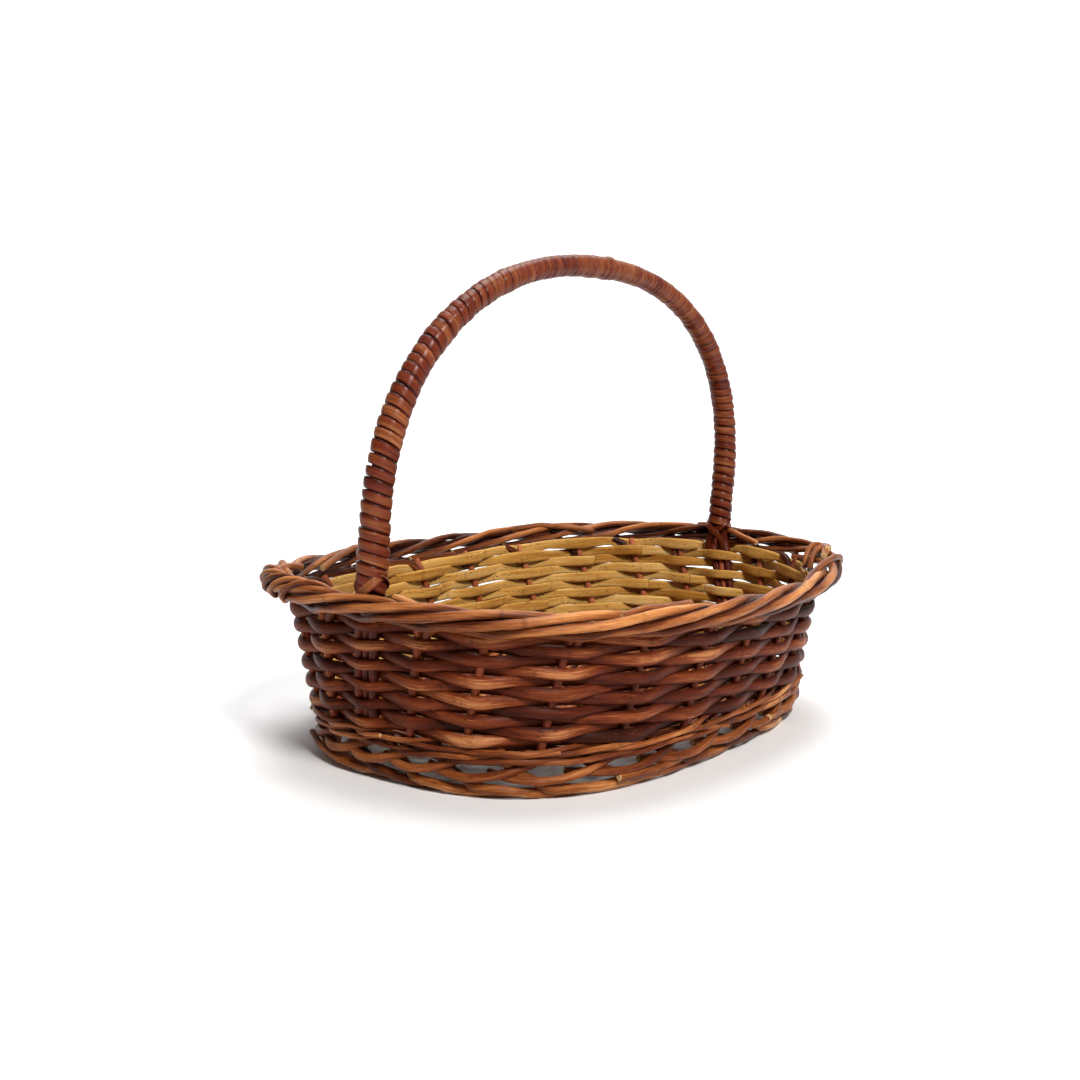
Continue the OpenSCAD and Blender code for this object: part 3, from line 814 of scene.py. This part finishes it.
def wale(name, node, z0, d, amp, phase, turns=(2, 1), n_rods=3, dz=1.9, rough=0.55):
    """Thin rods that pass in front of two stakes and behind one, each a stake
    on from the last, so they lie like a flat rope.  They come in lengths,
    with their thin tips left on the outside."""
    b = Bundle(name, node, "foot", [M_WEAVE, M_WEAVE, M_PITH])
    per = sum(turns)
    for j in range(n_rods):
        r = np.random.default_rng(int(z0 * 10) + 5 * j)
        cuts = [phase + j - 0.2 + 6.0 * m for m in range(5)]
        cuts[-1] = cuts[0] + 24
        for m in range(4):
            a0, a1 = cuts[m], cuts[m + 1] - 0.05 + 0.1 * r.random()
            x = np.linspace(a0, a1, int((a1 - a0) * 24))
            ph = ((x - phase - j) % per) / per            # 0 = in the middle of the inside
            c = -np.cos(2 * np.pi * ph)
            o = amp * np.clip(c * 1.25 + 0.25, -1, 1)
            o = np.convolve(np.pad(o, 5, mode="edge"), np.ones(11) / 11, "valid")
            # each rod climbs over its followers while it is outside
            z = z0 + dz * np.interp(ph, [0, 0.22, 0.5, 0.82, 1.0], [0.0, -1.0, 0.0, 1.0, 0.0]) \
                + rough * wob(x, 10 * j + int(z0) + 100 * m, 2.6)
            u = at(x + 0.07, z)
            p = soft(wall(u, z, o), 1.4, 2.2)
            s = length(p)
            t = s / s[-1]
            rad = d / 2 * (1 + 0.06 * wob(s, 70 + j, 80) + 0.16 * (r.random() - 0.5)) * mix(1.06, 0.72, t ** 1.5)
            xx = np.interp(t, np.linspace(0, 1, len(x)), x)
            cc = np.interp(t, np.linspace(0, 1, len(x)), c)
            # painted light and shade: lighter where the rod is outside, darker where it runs inside
            b.rod(p, out(at(xx, z0), np.full(len(p), z0)), rad, rad, ROUND, 12, seed=int(z0 * 10) + j + 17 * m,
                  tone=0.5 + 0.2 * wob(s, 80 + j, 160) + 0.5 * (r.random() - 0.5), painted_light_and_wear=0.5 + 0.4 * cc)
    if z0 > 20:
        for m in range(9):
            r = np.random.default_rng(4700 + m)
            k = (1 + 2.7 * m) % 24
            z = 20.5 + 3.0 * r.random()
            sgn = -1 if m % 3 else 1
            pts = [wall(at(k + x, z), z + dz_, o) for x, dz_, o in ((0, 0, 1.0), (0.2, -0.6 * sgn, 3.4), (0.45, -1.8 * sgn, 4.9),
                                                                  (0.62 + 0.15 * r.random(), -2.9 * sgn, 5.9))]
            p = soft(pts, 1.0, 1.8)
            w = np.linspace(1.25, 0.9, len(p))
            b.rod(p, out(np.float64(at(k, z)), np.float64(z)), w, w, ROUND, 10, seed=4720 + m, tone=0.6, painted_light_and_wear=0.7)
    return b.make()


wale("upsett_lower", "upsett_rod_1", 18.6, 2.8, 3.9, 0, rough=0.8)
wale("upsett_upper", "upsett_rod_2", 23.0, 2.7, 3.9, 1, rough=0.8)

# --------------------------------------------------------------------------
# Border rods
# --------------------------------------------------------------------------


def border():
    """Each rod rises beside its stake, runs one stake on along the inside,
    comes out underneath, climbs the outside and goes over the top."""
    b = Bundle("plaited_border", "border_rods", "border", [M_BORDER, M_BORDER, M_PITH])
    for j in range(24):
        k = j + 1
        r = np.random.default_rng(7000 + k)
        u0 = k * STEP + 2.4
        rr = (1.98 + 0.26 * np.clip(-sind(u0 + 30), 0, 1)) * (1 + 0.18 * (r.random() - 0.5))
        v = 2.0 * (r.random() - 0.5)
        pts = []
        if j % 12:
            pts += [wall(at(j, 72), 72.0, 0, 4.0), wall(at(j, 77), 77.0, 0.3, 4.0)]
            pts += [rim(15 * j + 3.6, -146, 10.3), rim(15 * j + 6.0, -144 + v, 9.5)]
        else:
            pts += [rim(15 * j + 5.2, -144 + v, 9.6)]
        pts += [rim(15 * j + 9.5, -139 + v, 8.8), rim(15 * j + 13.0, -128 + v, 7.9), rim(15 * j + 16.0, -112, 7.0)]
        s = np.linspace(0.03, 1.24 + 0.10 * r.random(), 48)
        f = -82 + 292 * (0.80 * s + 0.20 * s * s) + 7 * wob(s, 7100 + k, 0.9) * smoothstep(s, 0.1, 0.3)
        f = np.minimum(f, 212 + 0.15 * (f - 212))
        rad = 3.55 + 0.28 * wob(s, 7200 + k, 0.8) + 0.5 * (1 - smoothstep(s, 0.0, 0.12)) + 3.4 * smoothstep(s, 0.86, 1.3)
        pts += list(rim(u0 + 1.5 + 45 * s, f, rad))
        p = soft(pts, 1.3, 2.2)
        L = length(p)
        t = L / L[-1]
        w = rr * mix(1.0, 0.80, smoothstep(t, 0.72, 1.0)) * (1 + 0.035 * wob(L, 7300 + k, 35))
        # painted light and shade: lighter golden along the front, darker round the ends and the back
        tone = 0.19 + 0.78 * (r.random() - 0.5) + 0.70 * np.clip(-sind(u0 + 38), 0, 1) ** 1.5 \
            - 0.30 * np.clip(cosd(u0 - 305), 0, 1) ** 4
        # the right end, as seen, darker again: painted shade
        ul = np.degrees(np.arctan2(p[:, 1] / RIM_B, p[:, 0] / RIM_A)) % 360
        tone = tone - 0.50 * smoothstep(ul, 236, 262) * (1 - smoothstep(ul, 318, 345))
        mid = rim(ul, 0.0, 0.0)
        # painted shade along the inside run, in the plait's creases and at the tucked end; lighter up the outside
        b.rod(p, rim_n(np.full(len(p), u0)), w, w, ROUND, 16, seed=7400 + k, tone=tone, core=mid, crease_shade_w=0.62,
              painted_light_and_wear=0.22 + 0.7 * smoothstep(t, 0.28, 0.5) - 0.4 * smoothstep(t, 0.8, 0.92))
    # ends that stick out: (stake angle, angle round the border, distance, thickness)
    for m, (keys, w0, tone, cap) in enumerate((
            (((326, 40, 3.6), (320, 80, 5.0), (315, 112, 6.0), (311, 135, 7.2)), 2.3, 0.45, 2),
            (((330, 20, 4.4), (324, 52, 5.6), (318.5, 84, 6.8), (314, 104, 8.0)), 2.2, 0.35, 2),
            (((232, 96, 2.4), (237, 128, 5.8), (243, 158, 9.0), (250.5, 168, 13.0)), 2.0, 0.3, 2),
            (((324.5, 62, 5.4), (324, 104, 6.2), (323.4, 146, 7.0), (322.6, 186, 8.6), (321.5, 216, 12.0)), 1.75, 0.4, 2),
            (((320.5, 62, 5.4), (320, 104, 6.2), (319.4, 146, 7.0), (318.6, 186, 8.6), (317.5, 216, 12.0)), 1.75, 0.3, 2),
            (((288, 168, 5.4), (293, 150, 7.0), (299, 122, 7.6), (305, 90, 7.4), (309.5, 56, 6.6), (312.5, 20, 5.4)), 1.95, 0.25, 2),
            (((9, 70, 4.4), (3, 112, 6.0), (357, 148, 7.4), (351, 176, 8.0), (346, 192, 8.4)), 1.9, 0.5, 2),
            (((196, 100, 2.6), (191, 128, 5.6), (187.5, 150, 8.2)), 1.9, 0.75, 2),
            (((60, 60, 4.2), (53, 110, 5.8), (46, 152, 7.0), (40, 178, 8.2)), 1.8, 0.3, 2),
            (((100, 60, 4.2), (106, 112, 6.0), (113, 156, 7.2), (120, 186, 9.0)), 1.9, 0.35, 2),
            (((128, 50, 4.4), (134, 104, 6.2), (141, 150, 7.2), (147, 182, 9.6)), 2.0, 0.3, 2),
            (((148, 60, 4.2), (142, 106, 6.0), (137, 140, 8.8), (134, 158, 12.0)), 1.9, 0.35, 2))):
        p = soft([rim(np.float64(a), f, d) for a, f, d in keys], 1.2, 2.0)
        b.rod(p, (0, 0, 1), w0, w0, ROUND, 14, seed=7800 + m, tone=tone, painted_light_and_wear=0.6)
    # where the plait was closed, at the left end, ends fold steeply over the top
    for m in range(5):
        r = np.random.default_rng(7850 + m)
        a = 133.0 + 6.0 * m + 1.2 * (r.random() - 0.5)
        g = 0.85
        keys = ((a, -62, 4.2), (a + 1.5 * g, -18, 5.4), (a + 4.0 * g, 22, 6.1), (a + 7.5 * g, 60, 6.5), (a + 11.0 * g, 96, 6.5),
                (a + 14.5 * g, 132, 6.1), (a + 17.0 * g, 164, 5.4), (a + 19.0 * g, 194, 4.4))
        p = soft([rim(np.float64(x), f, d) for x, f, d in keys], 1.2, 2.2)
        t = length(p) / length(p)[-1]
        w = (1.85 + 0.2 * (r.random() - 0.5)) * mix(1.0, 0.84, t)
        ul = np.degrees(np.arctan2(p[:, 1] / RIM_B, p[:, 0] / RIM_A)) % 360
        # painted shade in the plait's creases
        b.rod(p, (0, 0, 1), w, w, ROUND, 14, seed=7860 + m, tone=0.26 + 0.4 * (r.random() - 0.5), painted_light_and_wear=0.75,
              core=rim(ul, 0.0, 0.0), crease_shade_w=0.62)
    # the thin ends of earlier rods, buried in the middle of the plait, made darkest as painted shade
    for m in range(24):
        r = np.random.default_rng(7600 + m)
        s = np.linspace(0, 1, 40)
        u = m * STEP + 7 * r.random() + (38 + 8 * r.random()) * s
        f = 360 * r.random() + 250 * s + 14 * wob(s, 7610 + m, 0.6)
        rad = 1.7 + 0.5 * wob(s, 7640 + m, 0.5) + 1.0 * smoothstep(s, 0.8, 1.0) + 0.8 * smoothstep(s, 0.2, 0.0)
        p = soft(rim(u, f, rad), 1.6, 2.0)
        t = length(p) / length(p)[-1]
        w = (1.75 + 0.2 * r.random()) * mix(1.0, 0.72, t)
        b.rod(p, (0, 0, 1), w, w, ROUND, 12, seed=7700 + m, tone=0.08 + 0.3 * (r.random() - 0.5), painted_light_and_wear=0.0, cap_mat=0)
    b.make()


border()

# --------------------------------------------------------------------------
# Base
# --------------------------------------------------------------------------


def base_in(k):
    return wall(at(k, BASE_Z), BASE_Z, -8.0, -2.3)


def is_long(k):
    j = k % 12
    return j <= 2 or j >= 10


def slath(k):
    e = base_in(k)
    q = 1 if (k % 24 < 6 or k % 24 > 18) else -1
    if is_long(k):
        j = k % 12
        return np.array([q * 72.0, (j - 12 if j > 6 else j) * 3.7 * q, e[2]])
    return np.array([58 * cosd(k * STEP) / cosd(45), np.sign(e[1]) * 13, e[2]])


def stick_at(k, f):
    a, b = slath(k % 24), base_in(k % 24)
    return a + f * (b - a)


def slath_z(p):
    return np.array([p[0], p[1], float(wall_z(np.float64(90.0), np.float64(BASE_Z)))])


def base():
    zc = float(wall_z(np.float64(90.0), np.float64(BASE_Z)))
    b = Bundle("base_cross", "base_cross_sticks", "base", [M_BASE, M_SPLIT, M_PITH_D])
    for k in range(3, 10):
        pts = [base_in(24 - k), slath_z(slath(24 - k)), slath_z(slath(k)), base_in(k)]
        for half, (pa, pb) in enumerate(((pts[0], pts[1]), (pts[3], pts[2]))):
            y = pb[1]
            q = pb.copy()
            q[1] = np.sign(y) * 9.8
            p = soft([pa, pb, q], 1.5, 2.0)
            b.rod(p, (0, 0, 1), 2.6, 2.6, ROUND, 14, seed=800 + 2 * k + half, tone=0.3 + 0.4 * RNG.random(), painted_light_and_wear=0.5)
        x0 = pts[1][0]
        x1 = pts[2][0]
        for q in (-1, 1):
            y = np.linspace(-11, 11, 24)
            h = 2.15 + 0.35 * np.cos(np.pi * y / 24)
            p = np.stack([mix(x0, x1, (y + 11) / 22), y, zc + q * h], 1)
            b.rod(p, (0, 0, float(q)), 0.55, 2.2, DFLAT, 13, seed=820 + k, tone=0.3 + 0.4 * RNG.random(), painted_light_and_wear=0.6)
    b.make()
    b = Bundle("base_long", "base_long_sticks", "base", [M_BASE, M_SPLIT, M_PITH_D])
    for i in range(-2, 3):
        k, m = (i + 24) % 24, 12 - i
        p = soft([base_in(k), slath_z(slath(k)), slath_z(slath(m)), base_in(m)], 2.0, 3.0)
        b.rod(p, (0, 0, 1), 1.6, 1.6, ROUND, 12, seed=840 + i, tone=0.3 + 0.4 * RNG.random(), painted_light_and_wear=0.5)
    b.make()
    b = Bundle("base_weave", "base_weavers", "base", [M_WEAVE, M_SPLIT, M_PITH_D])
    n = 17
    for j in range(n):
        f = -0.03 + 1.025 * j / (n - 1)
        group = f < 0.42
        start = int(np.random.default_rng(860 + j).integers(0, 24))
        keys, qs = [], []
        order = [(start + m) % 24 for m in range(25)]
        cnt = 0
        for m, k in enumerate(order):
            if group and (k % 12 in (0, 1, 2, 10, 11)):
                d = k % 12 if k % 12 < 6 else k % 12 - 12
                sgn = (0 if k < 6 or k > 18 else 1)
                q = 1 if (sgn * 8 + 0 + j) % 2 == 0 else -1
                amp = 3.0
            elif group:
                idx = (k - 2) if k < 12 else (k - 14)      # 1..7 along each side
                q = 1 if (idx + j) % 2 == 0 else -1
                amp = 3.95
            else:
                q = 1 if (k + j) % 2 == 0 else -1
                amp = 3.95 if not is_long(k) else 3.05
            p = stick_at(k, f)
            keys.append(np.array([p[0], p[1], p[2] + q * amp]))
        keys = np.array(keys)
        # run straight past each stick, then cross between them
        fine = []
        for m in range(24):
            a, c = keys[m], keys[m + 1]
            for e in (0.0, 0.14, 0.5, 0.86):
                h = {0.0: 0.0, 0.14: 0.04, 0.5: 0.5, 0.86: 0.96}[e]
                q = a + (c - a) * e
                q[2] = a[2] + (c[2] - a[2]) * h
                fine.append(q)
        p = soft(fine, 2.2, 2.4)
        s = length(p)
        t = unit(np.gradient(p, axis=0))
        side = unit(np.cross(t, [0, 0, 1.0]))
        for e in (-1, 1):
            w = 1.12 * (1 + 0.07 * wob(s, 890 + 2 * j + e, 60))
            b.rod(p + side * e * 1.13, (0, 0, 1), w, w, ROUND, 8, seed=870 + 2 * j + e,
                  tone=0.5 + 0.2 * e * (1 if j % 3 else -1) + 0.3 * wob(s, 880 + j + 40 * e, 200), painted_light_and_wear=0.5)
    b.make()


base()

# --------------------------------------------------------------------------
# Handle
# --------------------------------------------------------------------------


def bow_frames(p):
    t = unit(np.gradient(p, axis=0))
    y = np.array([0, 1.0, 0])
    yy = unit(y - (t @ y)[:, None] * t)
    return t, yy, np.cross(t, yy)


def in_wall(side, o):
    k = 0 if side > 0 else 12
    return [wall(at(k, z), float(z), 0, side * o * 4.4) for z in (30, 42, 54, 66, 76)]


def handle():
    core = bow_path(95.0, 1.5)
    t, yy, w = bow_frames(core)
    sc = hs(core[:, 2])
    for o, nm, node in ((-1, "core_rod_front", "handle_bow_rod_front"), (1, "core_rod_back", "handle_bow_rod_back")):
        m = core + (sc * 2.6 * o)[:, None] * yy
        a, c = in_wall(1, o), in_wall(-1, o)
        n1 = np.array([166, 4.0 * o + float(wall2(at(0, 86), np.float64(86.0))[1]), 88.0])
        n2 = np.array([-166, 4.0 * o + float(wall2(at(12, 86), np.float64(86.0))[1]), 88.0])
        p = soft(np.concatenate([a, [n1], m, [n2], c[::-1]]), 1.6, 2.2)
        b = Bundle(nm, node, "handle_core", [M_CORE, M_CORE, M_PITH_D])
        r = 2.5 * hs(p[:, 2])
        b.rod(p, (0, 1, 0), r, r, ROUND, 14, seed=30 + o, tone=0.5 + 0.1 * o, painted_light_and_wear=0.5)
        b.make()
    for v, nm, node in ((1, "packing_outer", "handle_packing_outer"), (-1, "packing_inner", "handle_packing_inner")):
        m = core + (sc * 3.95 * v)[:, None] * w
        b = Bundle(nm, node, "handle_core", [M_CORE, M_CORE, M_PITH_D])
        b.rod(m, (0, 1, 0), 2.0 * sc, 2.0 * sc, ROUND, 12, seed=40 + v, tone=0.45, painted_light_and_wear=0.4)
        b.make()
    # the wrapping strip, wound in close turns
    q = bow_path(94.6, 0.25)
    t, yy, w = bow_frames(q)
    s = length(q)
    # turns slope more at the foot of each leg, where the strip is drawn tight last
    pitch = 5.5 * (1 + 0.13 * wob(s, 51, 30, 4) + 0.07 * wob(s, 52, 9))
    pitch = pitch * mix(1.0, 0.93, hk(q[:, 2]) ** 2) * (1 - 0.22 * smoothstep(s, 150, 170) * smoothstep(s, 250, 244))
    turn = np.concatenate([[0], np.cumsum(np.diff(s) / (0.5 * (pitch[1:] + pitch[:-1])))])
    tt = np.linspace(0, turn[-1], int(turn[-1] * 46))
    ss = np.interp(tt, turn, s)
    pick = lambda a: np.stack([np.interp(ss, s, a[:, i]) for i in range(3)], 1)
    c, yv, wv = pick(q), unit(pick(yy)), unit(pick(w))
    ph = -2 * np.pi * tt + 1.0
    zz = c[:, 2]
    sc = hs(zz)
    r = np.random.default_rng(53)
    lift = np.interp(tt, np.arange(400), 0.5 * (r.random(400) - 0.5))
    # a fresh strip was let in near the top, and a few turns ride over their neighbours
    lift = lift + 0.35 * smoothstep(ss, 249, 252) * smoothstep(ss, 300, 270)
    for at_s, up, wide in ((250.0, 0.75, 2.6), (340.5, 0.55, 2.2), (389.0, 0.5, 2.4), (120.0, 0.4, 2.4)):
        lift = lift + up * np.exp(-((ss - at_s) / wide) ** 2)
    rad_dir = np.cos(ph)[:, None] * yv + np.sin(ph)[:, None] * wv
    # the far side of every turn runs level and the near side slopes
    slope = 1.15 * np.sin(ph) * mix(1.0, 0.5, smoothstep(zz, 100, 170))
    p = c + (7.3 * sc - 0.84 + lift)[:, None] * rad_dir + slope[:, None] * unit(np.gradient(c, axis=0))
    width = np.interp(ss, s, pitch) * (0.965 + 0.05 * wob(tt, 54, 2.7))
    thick = 1.6 * (1 + 0.10 * wob(tt, 60, 3.1)) * mix(1.0, 0.9, hk(zz) ** 2)
    tone = np.interp(tt, np.arange(400), 0.55 + 0.28 * (r.random(400) - 0.5)) + 0.08 * wob(tt, 56, 20.0) \
        - 0.02 * smoothstep(zz, 120, 205)
    b = Bundle("handle_binding", "handle_wrap", "handle_skin", [M_WRAP, M_WRAP, M_PITH_D])
    b.rod(p, rad_dir, thick / 2, width / 2, STRIP, 15, seed=58, tone=tone, painted_light_and_wear=0.6,
          twist=0.12 + 0.06 * wob(tt, 57, 1.7))
    b.make()


handle()


def lashing(name, node, side):
    """Strips that tie the leg down: they cross on the foot of the leg, go down
    between it and the border, and come out round the rods in the wall."""
    b = Bundle(name, node, "handle_skin", [M_WRAP, M_WRAP, M_PITH_D])
    u0 = 180.0 if side < 0 else 0.0
    n = np.array([float(side), 0, 0])
    t = rim_t(np.float64(u0))
    for e in (-1, 1):
        up = 0.0 if e < 0 else 0.9
        leg = lambda z, o, q: hp(side * leg_x(np.float64(z)), np.float64(z)) + o * n + q * e * t
        # outside: from the leg's flank across its front and down behind the border
        pts = [leg(102.0, -2.5, 5.6), leg(100.2, 1.2, 6.4), leg(97.6, 4.8 + up, 5.4), leg(94.9, 6.0 + up, 2.6),
               leg(92.4, 5.4 + up, -1.0), leg(89.0, 4.2 + up, -3.6), leg(85.0, 3.2, -4.8), leg(80.0, 2.6, -5.2)]
        p = soft(pts, 0.8, 1.6)
        k = smoothstep(np.arange(len(p)) / len(p), 0.05, 0.4)[:, None]
        ref = unit(n * (0.25 + 0.75 * k) + e * t * (1.0 - 0.9 * k))
        b.rod(p, ref, 0.5, 2.3, STRIP, 15, seed=90 + e + side, tone=0.62 + 0.14 * e, painted_light_and_wear=0.6)
        # inside: two more turns round the rods, then into the wall
        pts = [leg(101.5, 1.0, 5.8), leg(99.8, -2.6, 6.2), leg(97.2, -5.4 - up, 4.8), leg(94.6, -6.2 - up, 1.8),
               leg(91.8, -5.6 - up, -1.8), leg(88.4, -4.6 - up * 0.6, -4.2), leg(84.0, -3.8, -5.2), leg(79.0, -2.8, -5.0),
               leg(75.5, -1.0, -5.0)]
        p = soft(pts, 0.8, 1.6)
        b.rod(p, -n + 0.2 * e * t, 0.5, 2.2, STRIP, 15, seed=95 + e + side, tone=0.55 + 0.14 * e, painted_light_and_wear=0.5)
    b.make()


lashing("binding_left", "lashing_left", -1)
lashing("binding_right", "lashing_right", 1)

# --------------------------------------------------------------------------
# Studio
# --------------------------------------------------------------------------


def studio():
    # floor that sweeps up far behind the basket
    prof = [(-3.0, 0.0), (1.5, 0.0)]
    for a in np.linspace(0, math.pi / 2, 10)[1:]:
        prof.append((1.5 + 1.7 * math.sin(a), 1.7 - 1.7 * math.cos(a)))
    prof.append((3.2, 4.0))
    d = np.array([0.832, 0.555])
    s = np.array([0.555, -0.832])
    v, f = [], []
    for y, z in prof:
        for x in (-5.0, 5.0):
            w = d * y + s * x
            v.append((w[0], w[1], z))
    for i in range(len(prof) - 1):
        f.append((2 * i, 2 * i + 1, 2 * i + 3, 2 * i + 2))
    me = bpy.data.meshes.new("floor")
    me.from_pydata(v, [], f)
    me.polygons.foreach_set("use_smooth", np.ones(len(f), bool))
    ob = bpy.data.objects.new("floor", me)
    bpy.context.scene.collection.objects.link(ob)
    g = Nodes("floor_paper")
    p = g.new("ShaderNodeBsdfPrincipled")
    tc = g.new("ShaderNodeTexCoord")
    n = g.noise(tc.outputs["Object"], 3.0, 4.0)
    g.link(g.ramp(n, [(0.3, (0.86, 0.86, 0.86, 1)), (0.7, (0.88, 0.88, 0.88, 1))]), p.inputs["Base Color"])
    p.inputs["Roughness"].default_value = 0.9
    # the far sweep glows a little, so the picture's corners stay white
    z = g.new("ShaderNodeSeparateXYZ")
    g.link(tc.outputs["Object"], z.inputs[0])
    p.inputs["Emission Color"].default_value = (1, 1, 1, 1)
    g.link(g.remap(z.outputs[2], 0.15, 0.9, 0.0, 0.27), p.inputs["Emission Strength"])
    o = g.new("ShaderNodeOutputMaterial")
    g.link(p.outputs[0], o.inputs[0])
    me.materials.append(g.m)

    def area(name, pos, aim, size, power, col=(1, 1, 1)):
        L = bpy.data.lights.new(name, "AREA")
        L.shape = "DISK"
        L.size = size
        L.energy = power
        L.color = col
        o = bpy.data.objects.new(name, L)
        bpy.context.scene.collection.objects.link(o)
        z = unit(np.array(pos) - np.array(aim))
        x = unit(np.cross([0, 0, 1.0], z))
        y = np.cross(z, x)
        o.matrix_world = Matrix(((x[0], y[0], z[0], pos[0]), (x[1], y[1], z[1], pos[1]), (x[2], y[2], z[2], pos[2]), (0, 0, 0, 1)))

    area("key", (-0.70, -1.16, 1.30), (0, 0, 0.08), 0.5, 33, (1.0, 0.985, 0.96))
    area("top", (0.15, 0.1, 1.9), (0, 0, 0.05), 1.0, 19)
    area("fill", (0.9, -1.5, 0.7), (0, 0, 0.08), 0.9, 2.0, (0.96, 0.98, 1.0))
    area("backdrop", (1.0, 0.7, 2.2), (2.3, 1.5, 0.4), 1.6, 60)
    w = bpy.data.worlds.new("studio")
    w.use_nodes = True
    w.node_tree.nodes["Background"].inputs[0].default_value = (1, 1, 1, 1)
    w.node_tree.nodes["Background"].inputs[1].default_value = 0.10
    bpy.context.scene.world = w
    vs = bpy.context.scene.view_settings
    vs.view_transform = "Standard"
    vs.look = "None"


studio()
